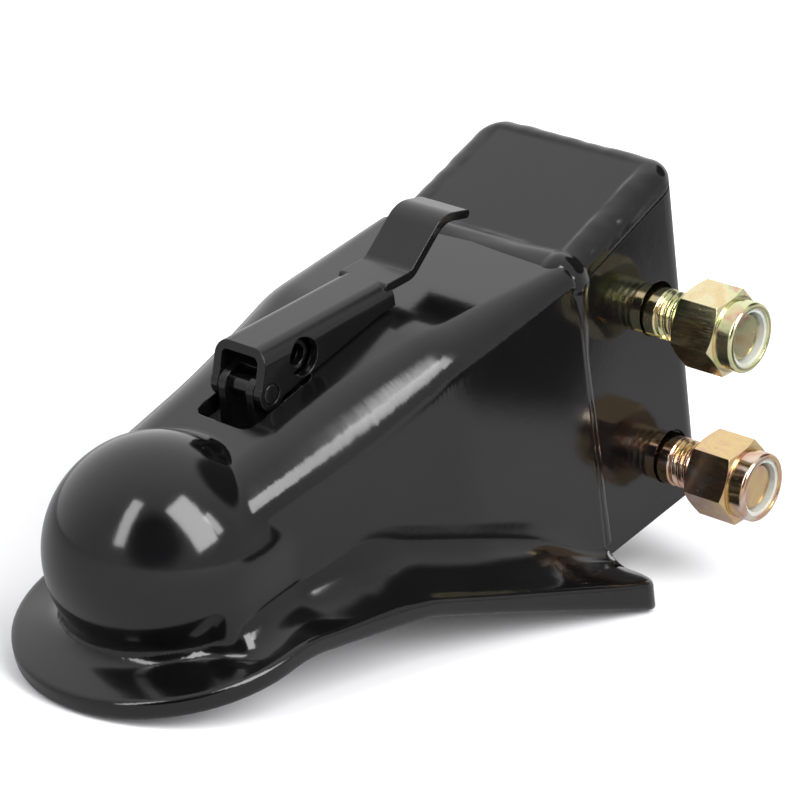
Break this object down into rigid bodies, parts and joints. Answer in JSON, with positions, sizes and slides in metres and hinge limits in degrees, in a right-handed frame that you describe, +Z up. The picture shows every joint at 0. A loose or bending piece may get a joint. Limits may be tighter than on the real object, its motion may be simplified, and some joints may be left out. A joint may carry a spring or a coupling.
{
  "type": "trailer coupling head",
  "caption": "Trailer coupling head: a pressed ball socket with a flared flange, welded to a bolt-on channel box, with a folded latch lever that lifts to free a pivoting ball clamp.",
  "frame": {"origin": "centre of the tow ball when the head is seated on it", "axes": "+Z up when the box's cheeks stand upright, the nose points to -Y, and the bolts run along X with their nuts at +X"},
  "size_m": [0.1299, 0.2436, 0.1343],
  "materials": {
    "black_paint": "gloss black paint",
    "yellow_zinc": "yellow zinc plating",
    "nylon": "white nylon",
    "bare_steel": "oiled bare steel"
  },
  "bodies": {
    "head": {"coupler_shell": "black_paint", "mount_channel": "black_paint", "channel_cap": "black_paint", "shell_weld": "black_paint", "pivot_bracket": "bare_steel", "clamp_pin": "bare_steel", "clamp_pin_ring": "bare_steel", "clamp_spring": "bare_steel", "upper_bolt": "yellow_zinc", "lower_bolt": "yellow_zinc", "upper_nut": "yellow_zinc", "lower_nut": "yellow_zinc", "upper_nut_ring": "nylon", "lower_nut_ring": "nylon"},
    "clamp": {"ball_clamp": "bare_steel", "latch_yoke": "black_paint", "yoke_rivet": "black_paint", "lever_pin": "black_paint"},
    "lever": {"latch_lever": "black_paint"}
  },
  "joints": [
    {"name": "clamp_swing", "type": "hinge", "parent": "head", "child": "clamp", "pos_m": [0, 0.067, 0.005], "axis": [1, 0, 0], "range_deg": [0, 6], "deforming": ["clamp_spring"]},
    {"name": "lever_lift", "type": "hinge", "parent": "clamp", "child": "lever", "pos_m": [0, 0.042, 0.03], "axis": [1, 0, 0], "range_deg": [0, 70]}
  ],
  "couplings": [
    {"joint": "clamp_swing", "follows": "lever_lift", "ratio": 0.0857}
  ]
}
